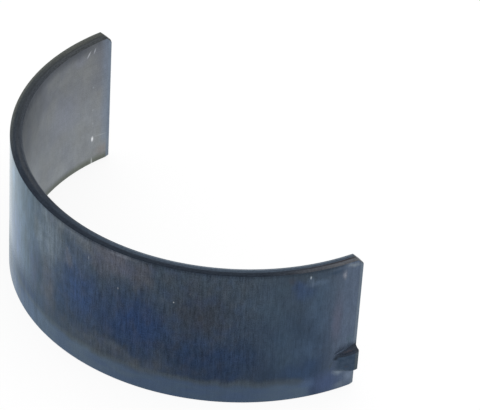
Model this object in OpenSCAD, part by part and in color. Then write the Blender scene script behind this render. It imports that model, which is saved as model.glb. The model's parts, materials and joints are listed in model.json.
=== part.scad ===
// Engine bearing shell: one half of a plain journal bearing, in its free state.
// Z is the journal axis, the crown of the shell points to -Y, and the origin is the middle of the journal.

/* [Shell] */
// Diameter of the housing bore that the shell is pressed into
housing_d = 54; // [40:0.5:90]
// Wall thickness from the back to the bore
wall = 1.55; // [1.2:0.05:3]
// Width along the journal axis
width = 19.3; // [12:0.1:40]
// Angle that the free shell covers before the housing closes it to a half circle, in degrees
free_arc = 175.6; // [170:0.1:179.8]

/* [Edges] */
// Chamfer on the side edges of the bore
bore_chamfer = 0.25; // [0.1:0.05:0.5]
// Chamfer on the side edges of the back
back_chamfer = 0.1; // [0.05:0.05:0.4]
// Length along the arc of the shallow chamfers on the bore, the back and the tang at the joint faces
joint_chamfer_l = 0.5; // [0.2:0.05:1]
// Depth of the same chamfers at the joint face
joint_chamfer_d = 0.15; // [0.05:0.05:0.4]
// Chamfer on the two upper corners, where the side edge meets the joint faces
corner_chamfer = 0.9; // [0.1:0.05:2]

/* [Locating tang] */
// Width of the tang along the journal axis, at the joint face
tang_w = 3.05; // [2:0.05:5]
// Width of the tang at its root
tang_root_w = 2.3; // [1.5:0.05:5]
// Length of the tang, from the joint face round to its root
tang_l = 3.3; // [2:0.1:6]
// Height of the tang above the back
tang_h = 0.85; // [0.6:0.05:1.6]
// Distance from the lower side edge to the tang
tang_offset = 2.85; // [1:0.05:6]
// Distance that the end of the tang stays behind the joint face
tang_setback = 0.1; // [0.05:0.05:0.4]
// Radius along the upper outer edge of the tang
tang_upper_radius = 0.45; // [0.1:0.05:0.55]
// Radius along the lower outer edge of the tang
tang_lower_radius = 0.15; // [0.05:0.05:0.55]
// Depth of the recess that the tang leaves in the bore at the joint face
recess_depth = 0.5; // [0.2:0.05:0.9]

/* [Hidden] */
$fn = 180;

// The back keeps its length when the housing closes the free arc to a half circle
back_r = housing_d / 2 * 180 / free_arc;
bore_r = back_r - wall;
joint_angle = free_arc / 2;
tang_z = tang_offset + tang_w / 2 - width / 2;
// How far cutting shapes reach past the faces that they cut
reach = 1;

// A pressed rise on a round surface is a smaller disc, highest at the joint face and level with the surface
// one rise length round from it. This is the distance of the disc's centre from the journal axis.
function rise_centre(surface_r, height, length) =
    let (sagitta = surface_r * (1 - cos(length / surface_r * 180 / PI)))
    height * (2 * surface_r + height) / (2 * (sagitta + height));

// Places a shape at a joint face: X runs outwards along the face and Y points out of the face
module at_joint(side) {
    mirror([side < 0 ? 1 : 0, 0, 0])
        rotate([0, 0, joint_angle - 90])
            children();
}

// A bar that runs back from the joint face, with its section drawn in X and Z
module bar_behind_joint(length, front) {
    translate([0, front, 0])
        rotate([90, 0, 0])
            linear_extrude(height = length + front)
                children();
}

module shell_section() {
    half = width / 2;
    polygon([
        [bore_r + bore_chamfer, -half],
        [back_r - back_chamfer, -half],
        [back_r, -half + back_chamfer],
        [back_r, half - back_chamfer],
        [back_r - back_chamfer, half],
        [bore_r + bore_chamfer, half],
        [bore_r, half - bore_chamfer],
        [bore_r, -half + bore_chamfer],
    ]);
}

// Cuts a shallow chamfer along the edge of a joint face; outward is 1 for the back and -1 for the bore
module joint_edge_cut(edge_r, outward) {
    step = joint_chamfer_d * outward;
    linear_extrude(height = width + 2 * reach, center = true)
        polygon([
            [edge_r - 2 * step, joint_chamfer_l],
            [edge_r + step, -2 * joint_chamfer_l],
            [edge_r + step, joint_chamfer_l],
        ]);
}

// Cuts an upper corner off the strip at a joint face, straight through the wall
module upper_corner_cut() {
    half = width / 2;
    translate([bore_r - reach, 0, 0])
        rotate([90, 0, 90])
            linear_extrude(height = wall + 2 * reach)
                polygon([
                    [corner_chamfer, half - 2 * corner_chamfer],
                    [-2 * corner_chamfer, half + corner_chamfer],
                    [corner_chamfer, half + corner_chamfer],
                ]);
}

module arched_strip() {
    difference() {
        rotate([0, 0, -90 - joint_angle])
            rotate_extrude(angle = free_arc)
                shell_section();
        for (side = [-1, 1])
            at_joint(side) {
                joint_edge_cut(bore_r, -1);
                joint_edge_cut(back_r, 1);
                upper_corner_cut();
            }
    }
}

// Section of the tang across its length, with its two outer edges rounded
module tang_section() {
    height = back_r + tang_h - bore_r;
    translate([bore_r, tang_z - tang_w / 2]) {
        square([height - tang_upper_radius, tang_w]);
        square([height - tang_lower_radius, tang_w - tang_upper_radius]);
        translate([0, tang_lower_radius])
            square([height, tang_w - tang_lower_radius - tang_upper_radius]);
        translate([height - tang_upper_radius, tang_w - tang_upper_radius])
            circle(r = tang_upper_radius);
        translate([height - tang_lower_radius, tang_lower_radius])
            circle(r = tang_lower_radius);
    }
}

// Section of the recess: sloped sides, as wide as the tang where it opens into the bore
module recess_section() {
    mouth = tang_w / 2 + reach;
    floor_half = tang_w / 2 - recess_depth;
    polygon([
        [bore_r - reach, tang_z - mouth],
        [bore_r + recess_depth, tang_z - floor_half],
        [bore_r + recess_depth, tang_z + floor_half],
        [bore_r - reach, tang_z + mouth],
    ]);
}

module rise_disc(surface_r, height) {
    centre = rise_centre(surface_r, height, tang_l);
    translate([centre, 0, 0])
        cylinder(r = surface_r + height - centre, h = width, center = true);
}

// Outline of the tang seen square to the back, from its end to its root, straight through the wall
module tang_plan() {
    translate([bore_r, 0, tang_z])
        rotate([90, 0, 90])
            linear_extrude(height = wall + tang_h + reach)
                polygon([
                    [-tang_setback, -tang_w / 2],
                    [-tang_setback, tang_w / 2],
                    [-tang_l, tang_root_w / 2],
                    [-2 * tang_l, tang_root_w / 2],
                    [-2 * tang_l, -tang_root_w / 2],
                    [-tang_l, -tang_root_w / 2],
                ]);
}

module tang() {
    difference() {
        intersection() {
            rise_disc(back_r, tang_h);
            bar_behind_joint(2 * tang_l, -tang_setback)
                tang_section();
            tang_plan();
        }
        cylinder(r = (bore_r + back_r) / 2, h = width, center = true);
        translate([0, -tang_setback, 0])
            joint_edge_cut(back_r + tang_h, 1);
    }
}

module tang_recess() {
    intersection() {
        rise_disc(bore_r, recess_depth);
        bar_behind_joint(2 * tang_l, reach)
            recess_section();
    }
}

module bearing_shell() {
    color("slategray")
        difference() {
            union() {
                arched_strip();
                at_joint(1)
                    tang();
            }
            at_joint(1)
                tang_recess();
        }
}

bearing_shell();
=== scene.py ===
"""Engine bearing shell: visual mesh, materials, light and camera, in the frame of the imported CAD."""

import json
import math

import bmesh
import bpy
import numpy as np
from mathutils import Matrix, Vector


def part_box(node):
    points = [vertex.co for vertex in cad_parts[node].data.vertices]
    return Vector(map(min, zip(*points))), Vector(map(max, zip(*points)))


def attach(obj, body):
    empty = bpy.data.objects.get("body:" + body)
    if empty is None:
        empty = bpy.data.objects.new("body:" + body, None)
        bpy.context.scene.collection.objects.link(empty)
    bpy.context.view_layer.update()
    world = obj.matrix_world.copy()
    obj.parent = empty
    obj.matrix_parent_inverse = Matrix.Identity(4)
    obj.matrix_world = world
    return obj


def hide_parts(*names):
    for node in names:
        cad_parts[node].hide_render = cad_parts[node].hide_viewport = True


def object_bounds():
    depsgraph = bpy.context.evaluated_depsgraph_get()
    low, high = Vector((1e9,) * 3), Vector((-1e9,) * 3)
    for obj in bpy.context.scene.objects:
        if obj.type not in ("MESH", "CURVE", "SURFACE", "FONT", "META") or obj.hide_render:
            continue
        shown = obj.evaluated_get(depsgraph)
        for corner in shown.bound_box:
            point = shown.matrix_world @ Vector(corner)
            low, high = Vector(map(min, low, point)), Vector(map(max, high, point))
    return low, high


MM = 0.001
NODE = "bearing_shell"
UV_NAME = "surface_mm"

# Edge sizes and the locating tang, in mm
BORE_CHAMFER = 0.25
BACK_CHAMFER = 0.1
JOINT_CHAMFER_L = 0.5
JOINT_CHAMFER_D = 0.15
CORNER_CHAMFER = 0.9
TANG_W = 3.05
TANG_ROOT_W = 2.3
TANG_L = 3.3
TANG_H = 0.85
TANG_OFFSET = 2.85
TANG_SETBACK = 0.1
TANG_UPPER_RADIUS = 0.45
TANG_LOWER_RADIUS = 0.15
RECESS_DEPTH = 0.5

# How far a worn edge and the creases of the recess are rounded, in mm
EDGE_SOFTNESS = 0.03
CREASE_SOFTNESS = 0.14
# Width of the tang's steep walls, and of the hollow along its upper side: where the tang is level with the
# back, and where it is highest
WALL_RUN = 0.04
HOLLOW_RUN = (0.05, 0.5)
# Mesh lines up to this far from a side of the tang run with it, and those past the second stay straight
SIDE_REACH = (0.6, 1.2)
# The same for mesh lines near to the upper side edge, which run with its cut corners
CORNER_REACH = (1.0, 3.0)
# Mesh edges that bend by more than this angle, in degrees, are shaded as sharp
SHARP_ANGLE = 35
# Mesh lines that would lie closer together than this, in mm, are joined
CLOSEST_LINES = 0.012

# Places of the mesh lines, in mm from an edge, from a joint face or from a side of the tang
EDGE_LINES = (0, 0.03, 0.07, 0.1, 0.13, 0.18, 0.22, 0.25, 0.28, 0.34, 0.45, 0.65, 1.0, 1.5)
FLANK_IN = (-0.55, -0.45, -0.38, -0.3, -0.22, -0.15, -0.1, -0.07, -WALL_RUN, 0)
FLANK_OUT = (0.04, 0.08, 0.12, 0.16, 0.2, 0.25, 0.3, 0.36, 0.42, 0.5, 0.6)
END_LINES = (
    0, 0.05, 0.1, 0.2, 0.3, 0.4, 0.46, 0.5, 0.54, 0.6,
    0.7, 0.8, 0.86, 0.9, 0.94, 1.0, 1.2, 1.5, 1.9,
)
TANG_LINES = (0.12, 0.14, 0.2, 0.3)
TANG_STEP = 0.1
ACROSS_STEP = 0.5
ROUND_STEP = 0.5
EDGE_DIVISIONS = 6

# Faces of the shell that differ in finish
BACK, BORE, EDGE, JOINT = range(4)

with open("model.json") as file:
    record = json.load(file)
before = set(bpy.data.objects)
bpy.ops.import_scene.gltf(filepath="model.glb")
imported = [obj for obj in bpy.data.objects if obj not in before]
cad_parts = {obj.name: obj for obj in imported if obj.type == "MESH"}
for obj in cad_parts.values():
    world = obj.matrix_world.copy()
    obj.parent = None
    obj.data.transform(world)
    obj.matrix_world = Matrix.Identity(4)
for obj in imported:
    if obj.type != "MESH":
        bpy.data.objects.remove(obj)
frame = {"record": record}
cad_lo, cad_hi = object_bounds()

mounts = {m["name"]: m for m in frame["record"]["mounts"]}
node_lo, node_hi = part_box(NODE)
BACK_R = -node_lo.y / MM
BORE_R = mounts["journal_seat"]["dims"]["r_mm"]
HALF = node_hi.z / MM
joint_axis = mounts["joint_face_tang_end"]["axis"]
JOINT_ANGLE = math.atan2(joint_axis[1], joint_axis[0])
# Half the length of the arc on the back and in the bore, from the crown to a joint face
ARC_END = JOINT_ANGLE * BACK_R
BORE_END = JOINT_ANGLE * BORE_R
TANG_LOW = TANG_OFFSET - HALF
TANG_HIGH = TANG_LOW + TANG_W
TANG_ROOT = ARC_END - TANG_L


# The mesh


def soft_ramp(x, softness=EDGE_SOFTNESS):
    """Zero below 0 and x above it, with the corner rounded."""
    return 0.5 * (x + np.sqrt(x * x + softness * softness))


def soft_lower(a, b, softness=EDGE_SOFTNESS):
    """The lower of two heights, with the ridge between them rounded."""
    return a - soft_ramp(a - b, softness)


def joint_chamfer(distance):
    """Depth of the shallow chamfer at a distance from the joint face."""
    return soft_ramp(JOINT_CHAMFER_D * (1 - distance / JOINT_CHAMFER_L))


def pressed_rise(angle, surface_r, height):
    """Height of a pressed rise above a round surface, at an angle from the joint face."""
    sagitta = surface_r * (1 - math.cos(TANG_L / surface_r))
    centre = height * (2 * surface_r + height) / (2 * (sagitta + height))
    disc_r = surface_r + height - centre
    reach = np.maximum(disc_r**2 - (centre * np.sin(angle)) ** 2, 0)
    return np.maximum(centre * np.cos(angle) + np.sqrt(reach) - surface_r, 0)


def rounded_side(inside, radius):
    """Height that a side of the tang allows at a distance inside it: a rounded outer edge."""
    corner = np.clip(radius - inside, 0, radius)
    return TANG_H - radius + np.sqrt(radius**2 - corner**2)


def tang_rise(angle, z):
    """Height of the tang above the back: sheared along its lower side and drawn along its upper side."""
    distance = angle * BACK_R - TANG_SETBACK
    ramp = pressed_rise(angle, BACK_R, TANG_H) - joint_chamfer(distance)
    low_side = rounded_side(z - TANG_LOW, TANG_LOWER_RADIUS) * np.clip((z - TANG_LOW) / WALL_RUN, 0, 1)
    run = np.interp(ramp, (0, TANG_H), HOLLOW_RUN)
    hollow = np.clip(1 - (z - TANG_HIGH) / run, 0, 1) ** 2
    high_side = rounded_side(TANG_HIGH - z, TANG_UPPER_RADIUS) * hollow
    rise = np.minimum(soft_lower(ramp, high_side), low_side)
    return np.maximum(rise, 0) * np.clip(distance / WALL_RUN, 0, 1)


def side_shift(angle, level):
    """How far the mesh lines beside the tang move, so that they run with its sides as these close in."""
    distance = angle * BACK_R
    places = (TANG_SETBACK, TANG_L, TANG_L + SIDE_REACH[1])
    closed = np.interp(distance, places, (0, (TANG_W - TANG_ROOT_W) / 2, 0))
    low = np.interp(np.abs(level - TANG_LOW), SIDE_REACH, (1, 0))
    high = np.interp(np.abs(level - TANG_HIGH), SIDE_REACH, (1, 0))
    return closed * (low - high)


def recess_drop(angle, z):
    """Depth of the recess that the tang leaves in the bore."""
    slope = np.clip(np.minimum(z - TANG_LOW, TANG_HIGH - z), 0, None)
    drop = soft_lower(pressed_rise(angle, BORE_R, RECESS_DEPTH), slope, CREASE_SOFTNESS)
    return np.maximum(drop, 0)


def merged(values):
    """Sorted values without those that almost repeat the one before."""
    values = np.sort(np.concatenate([np.atleast_1d(v) for v in values]))
    keep = np.concatenate([[True], np.diff(values) > CLOSEST_LINES])
    return values[keep]


def stations():
    """Angles of the mesh sections, from the plain end through the crown to the tang end."""
    tang_part = np.arange(TANG_LINES[-1], TANG_L + 4 * TANG_STEP, TANG_STEP)
    middle = np.arange(-ARC_END + END_LINES[-1], ARC_END - tang_part[-1], ROUND_STEP)
    places = merged([
        -ARC_END + np.array(END_LINES),
        middle,
        ARC_END - tang_part,
        ARC_END - np.array(END_LINES),
        ARC_END - np.array(TANG_LINES),
    ])
    return np.clip(places, -ARC_END, ARC_END) / BACK_R


def columns():
    """Heights of the mesh lines on the back and in the bore."""
    edge = np.array(EDGE_LINES)
    flank = np.array(FLANK_IN + FLANK_OUT)
    middle = np.arange(-HALF + EDGE_LINES[-1], HALF - EDGE_LINES[-1], ACROSS_STEP)
    return merged([-HALF + edge, HALF - edge, middle, TANG_HIGH + flank, TANG_LOW - flank])


def shell_points():
    """Angle, radius, height and straightened height of every mesh point, a row for each section."""
    angle = stations()[:, None]
    flat = columns()[None, :]
    from_end = JOINT_ANGLE - np.abs(angle)
    from_tang_end = JOINT_ANGLE - angle
    drop = soft_ramp(CORNER_CHAMFER - from_end * BACK_R)
    follow = np.interp(HALF - flat, CORNER_REACH, (1, 0))
    level = flat - drop * follow
    z = level + side_shift(from_tang_end, level)
    above = level + HALF
    below = HALF - drop - level

    tang = tang_rise(from_tang_end, level)
    back = BACK_R - soft_ramp(BACK_CHAMFER - above) - soft_ramp(BACK_CHAMFER - below)
    back = back - joint_chamfer(from_end * BACK_R) * np.clip(1 - tang / WALL_RUN, 0, 1) + tang
    bore = BORE_R + soft_ramp(BORE_CHAMFER - above) + soft_ramp(BORE_CHAMFER - below)
    bore = bore + joint_chamfer(from_end * BORE_R) + recess_drop(from_tang_end, level)

    share = np.arange(1, EDGE_DIVISIONS)[None, :] / EDGE_DIVISIONS
    top_r = back[:, -1:] + (bore[:, -1:] - back[:, -1:]) * share
    low_r = bore[:, :1] + (back[:, :1] - bore[:, :1]) * share
    top_z = np.repeat(z[:, -1:], share.size, 1)
    low_z = np.repeat(z[:, :1], share.size, 1)
    radius = np.concatenate([back, top_r, bore[:, ::-1], low_r], 1)
    height = np.concatenate([z, top_z, level[:, ::-1], low_z], 1)
    straight = np.concatenate([level, top_z, level[:, ::-1], low_z], 1)
    return np.repeat(angle, radius.shape[1], 1), radius, height, straight


def ring_finish(count, per_side):
    """Which finish each strip round the section has, from its place in the ring."""
    heights = columns()
    middle_of = (heights[:-1] + heights[1:]) / 2
    on_back = HALF - np.abs(middle_of) > BACK_CHAMFER
    in_bore = (HALF - np.abs(middle_of) > BORE_CHAMFER)[::-1]
    finish = np.full(count, EDGE)
    finish[: per_side - 1][on_back] = BACK
    first = per_side + EDGE_DIVISIONS - 1
    finish[first : first + per_side - 1][in_bore] = BORE
    return finish


def end_faces(count, per_side):
    """Faces across the wall at a joint face, as places in the ring."""
    far = per_side + EDGE_DIVISIONS - 1
    bore_of = [far + per_side - 1 - k for k in range(per_side)]
    faces = [(k, k + 1, bore_of[k + 1], bore_of[k]) for k in range(1, per_side - 2)]
    last = per_side - 1
    top = [last - 1] + list(range(last, far + 1)) + [bore_of[last - 1]]
    low = [1, bore_of[1]] + list(range(bore_of[0], count)) + [0]
    return faces + [tuple(top), tuple(low)]


def shell_faces(rows, count, per_side):
    """Faces of the swept shell with its two ends closed, and the finish of each face."""
    strip_finish = ring_finish(count, per_side)
    faces, finish = [], []
    for i in range(rows - 1):
        for k in range(count):
            n = (k + 1) % count
            faces.append((i * count + k, i * count + n, (i + 1) * count + n, (i + 1) * count + k))
            finish.append(strip_finish[k])
    for start in (0, (rows - 1) * count):
        for face in end_faces(count, per_side):
            faces.append(tuple(start + k for k in face))
            finish.append(JOINT)
    return faces, np.array(finish)


def write_uv(mesh, angle, radius, height, finish):
    """Surface coordinates in mm: along the arc and the width, or across the wall at its edges."""
    corner = np.empty(len(mesh.loops), int)
    mesh.loops.foreach_get("vertex_index", corner)
    sizes = np.empty(len(mesh.polygons), int)
    mesh.polygons.foreach_get("loop_total", sizes)
    kind = np.repeat(finish, sizes)
    a, r, z = (values.ravel()[corner] for values in (angle, radius, height))
    across = r - BORE_R
    along = np.where(kind == BORE, a * BORE_R, a * BACK_R)
    u = np.where(kind == JOINT, z, along)
    v = np.where((kind == JOINT) | (kind == EDGE), across, z)
    layer = mesh.uv_layers.new(name=UV_NAME)
    layer.data.foreach_set("uv", np.stack([u, v], 1).ravel().astype(np.float32))


def build_shell():
    """The shell as one closed mesh, with a material place for each finish."""
    angle, radius, height, straight = shell_points()
    faces, finish = shell_faces(*radius.shape, columns().size)
    points = np.stack([radius * np.sin(angle), -radius * np.cos(angle), height], -1).reshape(-1, 3) * MM
    mesh = bpy.data.meshes.new("bearing_shell_surface")
    mesh.from_pydata(points.tolist(), [], faces)
    mesh.polygons.foreach_set("material_index", finish.astype(np.int32))
    write_uv(mesh, angle, radius, straight, finish)
    work = bmesh.new()
    work.from_mesh(mesh)
    bmesh.ops.recalc_face_normals(work, faces=work.faces)
    work.to_mesh(mesh)
    work.free()
    mesh.polygons.foreach_set("use_smooth", [True] * len(mesh.polygons))
    mesh.set_sharp_from_angle(angle=math.radians(SHARP_ANGLE))
    shell = bpy.data.objects.new("bearing_shell_surface", mesh)
    bpy.context.scene.collection.objects.link(shell)
    return shell


# Materials

# Noise is taken from a new place for each seed, and most of its values lie in the spread
SEED_STEP = (7.3, 3.1, 1.0)
NOISE_SPREAD = (0.3, 0.7)
# Sockets of a node that mixes colours
MIX_SHARE, MIX_FIRST, MIX_SECOND, MIX_RESULT = 0, 6, 7, 2


def shade(red, green, blue):
    """A colour as a display shows it, from 0 to 255, in the linear values that a shader takes."""
    linear = []
    for value in (red, green, blue):
        share = value / 255
        linear.append(share / 12.92 if share <= 0.04045 else ((share + 0.055) / 1.055) ** 2.4)
    return (*linear, 1.0)


class Paint:
    """One node material, with the surface coordinates in mm at hand."""

    def __init__(self, name):
        self.material = bpy.data.materials.new(name)
        self.material.use_nodes = True
        self.tree = self.material.node_tree
        self.shader = self.tree.nodes["Principled BSDF"]
        self.uv = self.node("ShaderNodeUVMap", uv_map=UV_NAME).outputs["UV"]
        split = self.node("ShaderNodeSeparateXYZ")
        self.put(split.inputs[0], self.uv)
        self.along, self.across = split.outputs["X"], split.outputs["Y"]

    def node(self, kind, **settings):
        made = self.tree.nodes.new(kind)
        for key, value in settings.items():
            setattr(made, key, value)
        return made

    def put(self, socket, value):
        """Links a socket to a value, or sets it where the value is a constant."""
        if isinstance(value, bpy.types.NodeSocket):
            self.tree.links.new(value, socket)
        else:
            socket.default_value = value

    def math(self, operation, a, b=0.0):
        made = self.node("ShaderNodeMath", operation=operation)
        self.put(made.inputs[0], a)
        self.put(made.inputs[1], b)
        return made.outputs[0]

    def add(self, a, b):
        return self.math("ADD", a, b)

    def times(self, a, b):
        return self.math("MULTIPLY", a, b)

    def remap(self, value, low, high, to_low=0.0, to_high=1.0):
        """A soft step from one number to another, while the value goes from low to high."""
        made = self.node("ShaderNodeMapRange", interpolation_type="SMOOTHSTEP")
        self.put(made.inputs["Value"], value)
        made.inputs["From Min"].default_value = low
        made.inputs["From Max"].default_value = high
        made.inputs["To Min"].default_value = to_low
        made.inputs["To Max"].default_value = to_high
        return made.outputs["Result"]

    def mix(self, share, first, second):
        made = self.node("ShaderNodeMix", data_type="RGBA")
        self.put(made.inputs[MIX_SHARE], share)
        self.put(made.inputs[MIX_FIRST], first)
        self.put(made.inputs[MIX_SECOND], second)
        return made.outputs[MIX_RESULT]

    def brighten(self, colour, level):
        """The colour, made lighter or darker by a share: 0 leaves it as it is."""
        made = self.node("ShaderNodeVectorMath", operation="SCALE")
        self.put(made.inputs[0], colour)
        self.put(made.inputs["Scale"], self.add(level, 1.0))
        return made.outputs[0]

    def noise(self, grain, seed, detail=2.0):
        """Noise with features of about that size in mm, along and across."""
        place = self.node("ShaderNodeMapping", vector_type="POINT")
        self.put(place.inputs["Vector"], self.uv)
        place.inputs["Location"].default_value = [seed * step for step in SEED_STEP]
        place.inputs["Scale"].default_value = (1 / grain[0], 1 / grain[1], 1)
        made = self.node("ShaderNodeTexNoise")
        self.put(made.inputs["Vector"], place.outputs[0])
        made.inputs["Scale"].default_value = 1
        made.inputs["Detail"].default_value = detail
        return made

    def grain(self, size, seed, low, high, detail=2.0):
        """Noise as a number from low to high, about evenly spread."""
        return self.remap(self.noise(size, seed, detail).outputs["Fac"], *NOISE_SPREAD, low, high)

    def wander(self, reach, size, seed):
        """The surface coordinates, moved about by up to a reach in mm, for uneven borders."""
        shift = self.node("ShaderNodeVectorMath", operation="MULTIPLY_ADD")
        self.put(shift.inputs[0], self.noise(size, seed, 3.0).outputs["Color"])
        shift.inputs[1].default_value = (2 * reach[0], 2 * reach[1], 0)
        shift.inputs[2].default_value = (-reach[0], -reach[1], 0)
        moved = self.node("ShaderNodeVectorMath", operation="ADD")
        self.put(moved.inputs[0], self.uv)
        self.put(moved.inputs[1], shift.outputs[0])
        return moved.outputs[0]

    def patch(self, vector, centre, size, turn=0.0, core=0.0):
        """A soft oval patch: 1 in its core and 0 at its border."""
        place = self.node("ShaderNodeMapping", vector_type="TEXTURE")
        self.put(place.inputs["Vector"], vector)
        place.inputs["Location"].default_value = (*centre, 0)
        place.inputs["Rotation"].default_value = (0, 0, math.radians(turn))
        place.inputs["Scale"].default_value = (*size, 1)
        far = self.node("ShaderNodeVectorMath", operation="LENGTH")
        self.put(far.inputs[0], place.outputs[0])
        return self.remap(far.outputs["Value"], 1.0, core)

    def marks(self, colour, marks, vector):
        """Small marks on top of a colour: centre, half size, turn, colour and strength of each."""
        for centre, size, turn, tint, strength in marks:
            share = self.times(self.patch(vector, centre, size, turn), strength)
            colour = self.mix(share, colour, shade(*tint))
        return colour

    def bump(self, height, strength, distance):
        """Fine relief, with its distance in mm."""
        made = self.node("ShaderNodeBump")
        made.inputs["Strength"].default_value = strength
        made.inputs["Distance"].default_value = distance * MM
        self.put(made.inputs["Height"], height)
        self.put(self.shader.inputs["Normal"], made.outputs["Normal"])

    def finish(self, colour, roughness, glance):
        """The finished material, as bare metal."""
        self.put(self.shader.inputs["Base Color"], colour)
        self.put(self.shader.inputs["Roughness"], roughness)
        self.shader.inputs["Metallic"].default_value = 1.0
        self.shader.inputs["Specular Tint"].default_value = glance
        return self.material


# Colour of the reflections where a surface is seen almost edge on
BACK_GLANCE = (0.83, 0.935, 1.0, 1.0)
BORE_GLANCE = (0.68, 0.7, 0.72, 1.0)
PLAIN_GLANCE = (0.72, 0.75, 0.78, 1.0)

# Patches of colour are listed in the order that they are laid on. Each has its centre and its half size in
# mm, along the arc from the crown and along the width from the middle, its turn in degrees, its colour and
# its strength. These are the heat tints of the back, about in order from the plain end to the tang end
BACK_TINTS = (
    ((-38.0, 3.0), (6.0, 9.0), 0, (68, 82, 99), 0.8),
    ((-30.0, -0.5), (6.5, 6.5), 0, (42, 59, 91), 0.8),
    ((-22.5, 4.0), (6.0, 6.5), 0, (62, 68, 77), 0.8),
    ((-15.0, 2.0), (7.0, 14.0), 0, (98, 116, 136), 0.85),
    ((-6.0, 3.0), (7.0, 9.0), 0, (82, 98, 117), 0.85),
    ((-8.8, -0.5), (4.0, 6.5), 0, (68, 84, 128), 0.75),
    ((-5.5, -6.4), (7.0, 4.6), 0, (26, 46, 82), 0.95),
    ((-10.6, -5.8), (2.4, 4.0), 0, (32, 62, 104), 0.8),
    ((-10.2, 7.2), (2.2, 3.2), 0, (112, 136, 166), 0.75),
    ((0.8, 5.6), (4.8, 6.8), 0, (103, 113, 123), 0.9),
    ((-4.6, 3.5), (1.1, 6.0), 0, (50, 58, 66), 0.75),
    ((-1.9, 5.2), (1.0, 4.6), 0, (68, 71, 72), 0.75),
    ((-2.4, -1.0), (1.9, 5.0), 0, (56, 60, 86), 0.75),
    ((5.0, 9.3), (8.5, 2.6), 0, (98, 104, 110), 0.85),
    ((1.0, -1.2), (1.9, 6.0), 0, (84, 85, 93), 0.7),
    ((6.4, 5.6), (3.4, 3.8), 0, (74, 86, 105), 0.7),
    ((4.8, 4.5), (1.2, 2.0), 0, (102, 103, 110), 0.6),
    ((6.2, 0.6), (5.2, 5.6), 0, (50, 69, 103), 0.9),
    ((11.5, 8.2), (6.0, 4.2), 0, (87, 89, 98), 0.85),
    ((15.5, 7.5), (2.2, 3.5), 0, (76, 77, 84), 0.6),
    ((14.6, 0.2), (6.8, 5.6), 0, (40, 58, 91), 0.9),
    ((11.0, -5.6), (12.8, 2.3), 0, (72, 79, 87), 0.8),
    ((22.5, 3.6), (5.2, 5.6), 0, (53, 58, 66), 0.9),
    ((24.5, -3.4), (7.5, 4.6), 0, (38, 53, 77), 0.85),
    ((28.0, -1.6), (1.8, 2.6), 0, (36, 52, 74), 0.6),
    ((31.5, 5.0), (4.5, 6.0), 0, (62, 77, 92), 0.8),
    ((33.0, -1.5), (4.0, 6.5), 0, (60, 76, 93), 0.85),
    ((36.2, -2.4), (2.8, 3.4), 0, (64, 81, 102), 0.85),
    ((35.2, -5.6), (4.6, 2.8), 0, (54, 71, 96), 0.9),
    ((34.6, 7.2), (1.6, 2.4), 0, (50, 68, 100), 0.7),
    ((33.4, 8.6), (1.2, 0.9), 0, (64, 62, 70), 0.4),
    ((36.8, 4.6), (3.2, 7.0), 0, (69, 86, 106), 0.85),
)
# Colour of the back beside the joint face at the tang end
END_TONE = (82, 94, 112)
# Smaller tints with firmer borders, most of them at the tang end, among them painted shade along the
# tang's root and painted reflections below the tang
SMALL_TINTS = (
    ((39.3, 1.4), (1.1, 5.5), 0, (90, 90, 106), 0.5),
    ((41.3, -2.2), (0.8, 1.1), 0, (72, 90, 102), 0.5),
    ((38.4, -8.2), (3.4, 2.8), -8, (68, 82, 112), 0.95),
    # Painted shade along the tang's root
    ((38.9, -5.8), (0.24, 1.3), -17, (62, 72, 80), 0.6),
    # Painted reflection on the back below the tang
    ((40.0, -7.15), (1.2, 0.55), -8, (114, 126, 140), 0.85),
    ((40.3, -9.0), (1.1, 0.8), 0, (104, 115, 128), 0.6),
    # Painted reflection on the back below the tang's end
    ((41.5, -8.0), (0.9, 1.2), 0, (110, 123, 143), 0.7),
    ((39.8, 7.9), (0.45, 1.1), 0, (128, 131, 141), 0.8),
    ((40.9, 9.1), (1.5, 0.45), -14, (122, 132, 142), 0.75),
    ((36.4, 7.7), (2.4, 0.6), 2, (86, 103, 124), 0.55),
    ((38.7, 8.7), (1.7, 0.55), 0, (50, 65, 83), 0.75),
    ((36.1, -7.5), (1.5, 1.4), 0, (76, 95, 126), 0.6),
    ((35.4, 8.3), (0.7, 0.7), 0, (86, 101, 120), 0.5),
    ((12.9, 9.35), (2.6, 0.5), 0, (124, 128, 138), 0.8),
)
# Bright nicks and scratches on the back
BACK_MARKS = (
    ((19.4, 4.65), (0.14, 0.16), 0, (165, 170, 174), 0.9),
    ((35.4, 8.7), (0.17, 0.34), 0, (165, 174, 184), 0.9),
    ((35.7, 7.8), (0.09, 0.9), 0, (100, 111, 126), 0.6),
    ((12.3, 4.3), (0.15, 0.24), 0, (128, 130, 136), 0.8),
    ((8.0, 6.8), (0.15, 0.4), 0, (122, 127, 133), 0.7),
    ((4.6, 6.2), (0.12, 0.4), 0, (112, 116, 124), 0.6),
    ((21.3, 6.3), (0.1, 0.3), 0, (96, 100, 106), 0.5),
    ((26.7, 5.2), (0.1, 0.7), 0, (92, 100, 110), 0.5),
)


def back_tone(paint):
    """Broad colours of the back, without its fine lines."""
    moved = paint.wander((1.6, 2.2), (2.6, 4.0), 2)
    colour = paint.mix(paint.grain((8, 12), 3, 0.0, 1.0), shade(44, 56, 73), shade(53, 65, 81))
    colour = paint.mix(paint.remap(paint.across, -1.0, 8.5, 0.0, 0.7), colour, shade(64, 74, 83))
    mottle = (paint.grain((1.4, 2.6), 4, 0.65, 1.0), paint.grain((1.2, 2.0), 5, 0.65, 1.0))
    for index, (centre, size, turn, tint, strength) in enumerate(BACK_TINTS):
        share = paint.times(paint.patch(moved, centre, size, turn, core=0.15), strength)
        colour = paint.mix(paint.times(share, mottle[index % 2]), colour, shade(*tint))
    return paint.mix(paint.remap(paint.along, 36.5, 41.0), colour, shade(*END_TONE))


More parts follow.
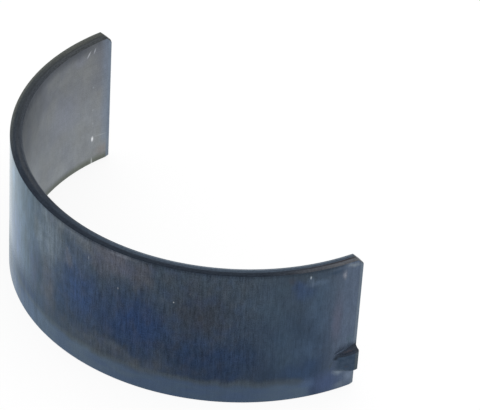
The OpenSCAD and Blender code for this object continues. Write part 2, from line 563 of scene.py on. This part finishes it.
def back_stains(paint, colour):
    """Fine brown and blue stains, drawn out along the brush lines."""
    brown = paint.grain((1.3, 2.2), 7, 0.0, 0.34)
    blue = paint.grain((1.5, 2.0), 8, 0.0, 0.34)
    fade = paint.remap(paint.along, 24.0, 32.0, 1.0, 0.25)
    colour = paint.mix(paint.times(paint.times(brown, brown), fade), colour, shade(82, 76, 72))
    return paint.mix(paint.times(paint.times(blue, blue), fade), colour, shade(44, 66, 112))


def back_band(paint, colour):
    """The smooth, lighter band along the lower side edge, with a soft end before the tang."""
    height = paint.remap(paint.along, -12.0, -1.0, 3.7, 2.95)
    end_drop = paint.remap(paint.along, 33.6, 36.8, 0.0, 0.6)
    uneven = paint.grain((2.5, 3.0), 11, -0.22, 0.22)
    top = paint.add(paint.math("SUBTRACT", height, end_drop), uneven)
    level = paint.math("SUBTRACT", paint.add(paint.across, HALF), top)
    inside = paint.remap(paint.add(paint.along, uneven), 36.9, 35.9)
    share = paint.times(paint.remap(level, 0.5, -0.9), inside)
    tone = paint.mix(paint.remap(paint.along, 6.0, 19.0), shade(82, 96, 111), shade(69, 84, 102))
    left = paint.times(paint.remap(paint.along, 3.0, -8.0), paint.remap(paint.along, -22.0, -13.0))
    tone = paint.mix(left, tone, shade(33, 53, 88))
    tone = paint.mix(paint.remap(paint.along, -12.0, -20.0), tone, shade(66, 81, 99))
    tone = paint.mix(paint.remap(paint.along, 28.0, 34.0), tone, shade(78, 93, 109))
    tone = paint.mix(paint.grain((4, 1.2), 12, 0.0, 0.45), tone, shade(63, 79, 109))
    colour = paint.mix(share, colour, tone)
    rim = paint.times(paint.remap(paint.math("ABSOLUTE", level), 0.8, 0.0, 0.0, 0.32), inside)
    return paint.mix(rim, colour, shade(84, 90, 88)), share


def back_lines(paint, smooth):
    """Brush lines along the width and fine grain, as a share of the colour below them."""
    fine = paint.grain((0.1, 1.5), 21, -0.16, 0.19, 3.0)
    broad = paint.grain((0.36, 4.5), 22, -0.13, 0.13)
    speckle = paint.grain((0.14, 0.2), 23, -0.18, 0.18)
    cloud = paint.grain((0.7, 0.9), 24, -0.09, 0.09)
    lines = paint.add(paint.add(fine, broad), paint.add(speckle, cloud))
    near_tang = paint.remap(paint.along, 27.0, 33.0, 1.0, 0.5)
    on_band = paint.remap(smooth, 0.0, 1.0, 1.0, 0.3)
    low_down = paint.remap(paint.across, -2.5, -6.0, 1.0, 0.65)
    lines = paint.times(lines, paint.times(paint.times(near_tang, on_band), low_down))
    past_crown = paint.remap(paint.along, 3.0, -3.0)
    far_side = paint.remap(paint.along, -18.0, -12.0, 0.35, 1.0)
    streaks = paint.grain((1.1, 6.0), 26, -0.27, 0.27, 3.0)
    return paint.add(lines, paint.times(streaks, paint.times(past_crown, far_side))), fine


# Painted shade at the tang's root and along its upper edge, a brownish strip along its upper flank, a
# stain on its face and a light place below its root that is a painted reflection
TANG_MARKS = (
    ((TANG_ROOT + 0.35, TANG_HIGH - 0.45), (0.75, 0.42), 62, (37, 43, 52), 0.9),
    ((TANG_ROOT + 1.1, TANG_HIGH - 0.22), (1.2, 0.22), -3, (46, 54, 64), 0.8),
    ((ARC_END - 1.3, TANG_HIGH + 0.06), (1.0, 0.1), -3, (82, 77, 83), 0.65),
    ((ARC_END - 1.7, TANG_LOW + 0.85), (0.45, 0.35), 0, (78, 80, 90), 0.5),
    ((TANG_ROOT + 1.0, TANG_LOW), (1.3, 0.42), 0, (108, 120, 134), 0.7),
)


def tang_tone(paint, colour):
    """The colour with the tang laid on, and the shares of the tang and of its surroundings."""
    above = paint.math("SUBTRACT", paint.across, TANG_HIGH)
    run = paint.remap(paint.along, TANG_ROOT, ARC_END, *HOLLOW_RUN)
    past = paint.math("SUBTRACT", above, run)
    root = paint.remap(paint.along, TANG_ROOT - 0.1, TANG_ROOT + 0.9)
    low = paint.remap(paint.across, TANG_LOW - 0.03, TANG_LOW + 0.03)
    share = paint.times(paint.times(root, low), paint.remap(past, 0.1, -0.05))
    beside = paint.times(root, paint.times(low, paint.remap(above, 1.4, 0.6)))
    face = paint.mix(paint.grain((0.8, 0.6), 61, 0.0, 1.0, 4.0), shade(56, 71, 89), shade(67, 81, 99))
    end = paint.remap(paint.along, ARC_END - 0.75, ARC_END - 0.55, 0.0, 0.75)
    face = paint.mix(end, face, shade(80, 87, 91))
    # Painted shade along the tang's upper edge, and in the hollow along its upper side
    face = paint.mix(paint.remap(above, -0.34, -0.2, 0.0, 0.75), face, shade(50, 54, 63))
    face = paint.mix(paint.remap(above, 0.12, 0.25, 0.0, 0.6), face, shade(48, 54, 64))
    colour = paint.mix(share, colour, face)
    return paint.marks(colour, TANG_MARKS, paint.wander((0.12, 0.12), (0.4, 0.4), 64)), share, beside


def back_rims(paint, colour):
    """The lighter chamfer at the joint face, and painted shade as a dark line along the upper side edge.
    """
    lip_start = ARC_END - JOINT_CHAMFER_L
    lip = paint.remap(paint.along, lip_start - 0.1, lip_start + 0.05, 0.0, 0.6)
    colour = paint.mix(lip, colour, shade(96, 104, 114))
    # Painted shade: a dark line along the upper side edge, weaker towards the plain end and gone at the
    # tang end
    rim = paint.remap(paint.across, HALF - 0.6, HALF - 0.2, 0.0, 0.55)
    from_crown = paint.remap(paint.along, -4.0, 8.0, 0.2, 1.0)
    to_end = paint.remap(paint.along, 40.6, 39.2)
    return paint.mix(paint.times(rim, paint.times(from_crown, to_end)), colour, shade(42, 50, 61))


def back_roughness(paint, beside_tang):
    """Smooth brushed steel, rougher low down and round the tang."""
    brushed = paint.grain((0.42, 8.0), 25, 0.1, 0.17)
    worn = paint.remap(paint.across, -1.0, -6.0, 0.0, 0.12)
    dull = paint.times(paint.patch(paint.uv, (-6.0, -6.0), (6.5, 3.6)), 0.1)
    roughness = paint.add(brushed, paint.add(worn, dull))
    return paint.add(roughness, paint.times(beside_tang, 0.3))


def back_material():
    """Brushed steel with heat tint, stains and nicks, with painted shade round the tang and along the
    upper side edge and painted reflections below the tang.
    """
    paint = Paint("heat_tinted_back")
    colour, smooth = back_band(paint, back_stains(paint, back_tone(paint)))
    colour = paint.marks(colour, SMALL_TINTS, paint.wander((0.3, 0.3), (0.8, 0.8), 6))
    colour = back_rims(paint, colour)
    colour, on_tang, beside_tang = tang_tone(paint, colour)
    lines, fine = back_lines(paint, smooth)
    speckle = paint.grain((0.12, 0.14), 62, -0.15, 0.15)
    lines = paint.add(paint.times(lines, paint.remap(on_tang, 1.0, 0.0)), paint.times(speckle, on_tang))
    colour = paint.marks(paint.brighten(colour, lines), BACK_MARKS, paint.uv)
    paint.bump(fine, 0.2, 0.02)
    return paint.finish(colour, back_roughness(paint, beside_tang), BACK_GLANCE)


# Soft darker and lighter places in the bore, among them a painted dark reflection high in the bore, then
# its bright nicks and scratches
BORE_TINTS = (
    ((-38.7, -8.0), (1.6, 1.6), 0, (130, 123, 117), 0.5),
    # Painted dark reflection where the bore is seen at a glancing angle, high under the upper edge
    ((-22.0, 9.5), (9.0, 6.0), 20, (80, 84, 90), 0.8),
    ((-31.5, 0.8), (4.5, 4.5), 0, (130, 135, 146), 0.7),
    ((-30.5, -7.4), (3.5, 1.8), 0, (152, 157, 160), 0.6),
    ((-24.5, 5.0), (2.4, 3.0), 0, (92, 96, 102), 0.6),
    ((-34.5, 8.0), (2.0, 1.2), 0, (128, 132, 142), 0.5),
)
BORE_MARKS = (
    ((-37.1, -5.5), (0.27, 0.58), 0, (240, 244, 247), 1.0),
    ((-38.6, -5.4), (1.4, 0.13), 7, (158, 164, 170), 0.6),
    ((-36.2, 8.15), (0.8, 0.17), 127, (190, 194, 200), 0.85),
    ((-37.2, 8.35), (0.58, 0.15), 112, (180, 184, 192), 0.8),
    ((-37.05, -9.1), (0.18, 0.85), 0, (206, 211, 212), 0.75),
    ((-37.1, 2.7), (0.22, 0.24), 0, (154, 159, 165), 0.7),
    ((-37.1, -0.9), (0.22, 0.26), 0, (156, 161, 168), 0.7),
    ((-37.1, -3.0), (0.22, 0.26), 0, (154, 159, 165), 0.7),
)


def bore_tone(paint):
    """Broad greys of the bore: dark with painted shade under the upper edge, olive at the foot and cooler
    at both ends.
    """
    rise = paint.remap(paint.across, 8.5, -5.0)
    colour = paint.mix(rise, shade(113, 117, 123), shade(138, 143, 148))
    colour = paint.mix(paint.grain((4, 5), 31, 0.0, 0.4), colour, shade(110, 114, 124))
    colour = paint.mix(paint.grain((3, 4), 38, 0.0, 0.4), colour, shade(134, 136, 132))
    colour = paint.marks(colour, BORE_TINTS, paint.wander((1.2, 1.2), (4.0, 4.0), 32))
    # Painted shade under the upper edge, weaker towards the plain end
    margin = paint.remap(paint.across, HALF - 2.0, HALF - 0.3, 0.0, 0.75)
    margin = paint.times(margin, paint.remap(paint.along, -39.0, -34.0, 0.5, 1.0))
    colour = paint.mix(margin, colour, shade(68, 72, 80))
    foot = paint.remap(paint.across, -HALF + 1.6, -HALF + 0.5, 0.0, 0.85)
    colour = paint.mix(foot, colour, shade(99, 104, 94))
    from_crown = paint.math("ABSOLUTE", paint.along)
    cool = paint.remap(from_crown, BORE_END - 2.0, BORE_END - 0.8, 0.0, 0.45)
    cool = paint.times(cool, paint.remap(paint.across, -7.6, -5.6))
    colour = paint.mix(cool, colour, shade(115, 130, 151))
    relief = paint.remap(from_crown, BORE_END - 0.7, BORE_END - 0.45, 0.0, 0.8)
    return paint.mix(relief, colour, shade(115, 127, 142))


def bore_material():
    """Plain grey lining with fine turned lines."""
    paint = Paint("satin_bore")
    lines = paint.grain((0.3, 1.6), 33, -0.03, 0.03)
    turned = paint.grain((9.0, 0.09), 39, -0.035, 0.035)
    cloud = paint.grain((0.8, 0.9), 34, -0.04, 0.04, 3.0)
    speckle = paint.grain((0.14, 0.17), 35, -0.08, 0.08)
    level = paint.add(paint.add(lines, turned), paint.add(cloud, speckle))
    colour = paint.brighten(bore_tone(paint), level)
    colour = paint.marks(colour, BORE_MARKS, paint.wander((0.06, 0.06), (0.3, 0.3), 36))
    paint.bump(turned, 0.3, 0.02)
    return paint.finish(colour, paint.grain((3, 3), 37, 0.3, 0.4), BORE_GLANCE)


def edge_line(paint, place, half_width):
    """A soft line along the side edge, at a distance from the bore."""
    away = paint.math("ABSOLUTE", paint.math("SUBTRACT", paint.across, place))
    return paint.remap(away, half_width, half_width * 0.2)


def edge_tone(paint):
    """Broad greys of the side edge: light and warm towards the plain end, and darkened by painted shade on
    its outer part elsewhere.
    """
    colour = paint.mix(paint.grain((2.2, 0.5), 41, 0.0, 1.0, 4.0), shade(40, 46, 56), shade(52, 59, 69))
    far = paint.remap(paint.along, -8.0, -30.0, 0.0, 0.8)
    colour = paint.mix(far, colour, shade(66, 70, 71))
    colour = paint.mix(paint.remap(paint.along, -26.0, -38.0, 0.0, 0.6), colour, shade(90, 91, 85))
    light = paint.remap(paint.across, 1.0, 1.4, 0.0, 0.9)
    light = paint.times(light, paint.remap(paint.along, -8.0, -24.0))
    colour = paint.mix(light, colour, shade(96, 99, 95))
    # Painted shade on the outer part of the edge, from near the crown to the tang end
    dark = paint.remap(paint.across, 0.75, 1.2, 0.0, 0.75)
    dark = paint.times(dark, paint.remap(paint.along, -14.0, -3.0))
    colour = paint.mix(dark, colour, shade(38, 45, 55))
    inner = paint.remap(paint.across, 0.8, 0.3, 0.0, 0.6)
    return paint.mix(inner, colour, shade(63, 67, 74))


def edge_bands(paint, colour):
    """Lines that run along the side edge, among them a painted highlight near its inner chamfer, and its
    worn outer strip towards the tang end.
    """
    middle = paint.times(paint.remap(paint.along, -18.0, -12.0), paint.remap(paint.along, 0.0, -6.0))
    colour = paint.mix(paint.times(edge_line(paint, 0.68, 0.3), middle), colour, shade(64, 68, 74))
    groove = paint.times(edge_line(paint, 0.6, 0.22), paint.remap(paint.along, -8.0, -20.0, 0.0, 0.5))
    colour = paint.mix(groove, colour, shade(48, 51, 55))
    close = paint.remap(paint.along, -6.0, 16.0)
    colour = paint.mix(paint.times(edge_line(paint, 0.68, 0.34), close), colour, shade(68, 79, 92))
    # Painted highlight: a bright line near the inner chamfer, growing towards the tang end
    bright = paint.remap(paint.along, -2.0, 22.0)
    colour = paint.mix(paint.times(edge_line(paint, 0.36, 0.22), bright), colour, shade(103, 114, 126))
    worn = paint.times(paint.remap(paint.along, 29.0, 42.0), paint.grain((2.5, 0.6), 42, 0.7, 1.0))
    strip = paint.remap(paint.across, 0.98, 1.1, 0.0, 0.9)
    colour = paint.mix(paint.times(strip, worn), colour, shade(102, 103, 107))
    colour = paint.mix(paint.times(edge_line(paint, 0.9, 0.16), worn), colour, shade(60, 53, 52))
    return paint.mix(paint.remap(paint.along, 40.4, 42.0, 0.0, 0.45), colour, shade(98, 102, 104))


def edge_material():
    """Dark cut edge of the strip, with its chamfers."""
    paint = Paint("dark_side_edge")
    lines = paint.grain((1.2, 0.08), 43, -0.12, 0.14)
    speckle = paint.grain((0.3, 0.2), 44, -0.16, 0.16)
    colour = edge_bands(paint, edge_tone(paint))
    colour = paint.brighten(colour, paint.add(lines, speckle))
    paint.bump(lines, 0.15, 0.02)
    return paint.finish(colour, paint.grain((3, 0.6), 45, 0.3, 0.42), PLAIN_GLANCE)


def joint_material():
    """Lighter ground metal of the two joint faces."""
    paint = Paint("ground_joint_face")
    cloud = paint.grain((4, 0.8), 51, 0.0, 1.0, 3.0)
    lines = paint.grain((5.0, 0.07), 52, -0.2, 0.22)
    speckle = paint.grain((0.3, 0.2), 53, -0.08, 0.08)
    colour = paint.mix(cloud, shade(98, 110, 122), shade(128, 141, 154))
    colour = paint.brighten(colour, paint.add(lines, speckle))
    paint.bump(lines, 0.2, 0.02)
    return paint.finish(colour, paint.grain((4, 0.8), 54, 0.28, 0.4), PLAIN_GLANCE)


# Floor, light and camera

# Side of the floor in metres, the share of the light that it gives back, and its glow to the camera
FLOOR_SIZE = 3.0
FLOOR_ALBEDO = 0.15
FLOOR_GLOW = 0.87
# Strength of the white light that comes evenly from all sides
WORLD_STRENGTH = 1.0

# The camera, from the photo's perspective: angles in degrees, lengths in mm
AZIMUTH = 52.6407
ELEVATION = 37.1014
ROLL = 3.6553
DISTANCE = 371.456
AIM = (1.5105, 0.0987, -0.1305)
LENS = 224.404
SENSOR = 36.0
# Nearest and furthest distance that the camera sees, in metres
CLIP_START = 0.01
CLIP_END = 20.0


def seen_by_camera(tree):
    """1 for rays that show a surface to the camera, also by way of metal or glass, and 0 for others."""
    path = tree.nodes.new("ShaderNodeLightPath")
    total = path.outputs["Is Camera Ray"]
    for name in ("Is Glossy Ray", "Is Transmission Ray"):
        add = tree.nodes.new("ShaderNodeMath")
        add.operation = "ADD"
        add.use_clamp = True
        tree.links.new(total, add.inputs[0])
        tree.links.new(path.outputs[name], add.inputs[1])
        total = add.outputs[0]
    return total


def floor_material():
    """Near white to the camera and in reflections."""
    material = bpy.data.materials.new("white_floor")
    material.use_nodes = True
    tree = material.node_tree
    tree.nodes.clear()
    out = tree.nodes.new("ShaderNodeOutputMaterial")
    diffuse = tree.nodes.new("ShaderNodeBsdfDiffuse")
    diffuse.inputs["Color"].default_value = (FLOOR_ALBEDO,) * 3 + (1,)
    glow = tree.nodes.new("ShaderNodeEmission")
    level = tree.nodes.new("ShaderNodeMath")
    level.operation = "MULTIPLY"
    level.inputs[1].default_value = FLOOR_GLOW
    tree.links.new(seen_by_camera(tree), level.inputs[0])
    tree.links.new(level.outputs[0], glow.inputs["Strength"])
    both = tree.nodes.new("ShaderNodeAddShader")
    tree.links.new(diffuse.outputs[0], both.inputs[0])
    tree.links.new(glow.outputs[0], both.inputs[1])
    tree.links.new(both.outputs[0], out.inputs["Surface"])
    return material


def build_floor():
    """A flat floor under the lower side edge."""
    reach = FLOOR_SIZE / 2
    corners = [(-reach, -reach, 0), (reach, -reach, 0), (reach, reach, 0), (-reach, reach, 0)]
    mesh = bpy.data.meshes.new("floor")
    mesh.from_pydata(corners, [], [(0, 1, 2, 3)])
    mesh.materials.append(floor_material())
    floor = bpy.data.objects.new("floor", mesh)
    floor.location = (0, 0, cad_lo.z)
    bpy.context.scene.collection.objects.link(floor)


def build_light():
    """Even white light."""
    world = bpy.data.worlds.new("white_tent")
    world.use_nodes = True
    background = world.node_tree.nodes["Background"]
    background.inputs["Color"].default_value = (1, 1, 1, 1)
    background.inputs["Strength"].default_value = WORLD_STRENGTH
    bpy.context.scene.world = world


def build_camera():
    """The photo's camera, aimed near the middle of the shell."""
    azimuth, elevation, roll = (math.radians(v) for v in (AZIMUTH, ELEVATION, ROLL))
    level = Vector((math.cos(azimuth), math.sin(azimuth), 0))
    flat = math.cos(elevation)
    behind = Vector((math.sin(azimuth) * flat, -math.cos(azimuth) * flat, math.sin(elevation)))
    upright = behind.cross(level)
    right = math.cos(roll) * level + math.sin(roll) * upright
    up = math.cos(roll) * upright - math.sin(roll) * level
    place = Vector(AIM) + DISTANCE * behind
    data = bpy.data.cameras.new("photo_camera")
    data.sensor_width = SENSOR
    data.lens = LENS
    data.clip_start = CLIP_START
    data.clip_end = CLIP_END
    camera = bpy.data.objects.new("photo_camera", data)
    turn = Matrix((right, up, behind)).transposed().to_4x4()
    camera.matrix_world = Matrix.Translation(place * MM) @ turn
    bpy.context.scene.collection.objects.link(camera)
    bpy.context.scene.camera = camera


shell = build_shell()
for material in (back_material(), bore_material(), edge_material(), joint_material()):
    shell.data.materials.append(material)
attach(shell, "root")
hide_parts(NODE)
build_floor()
build_light()
build_camera()
bpy.context.scene.view_settings.view_transform = "Standard"
bpy.context.view_layer.update()
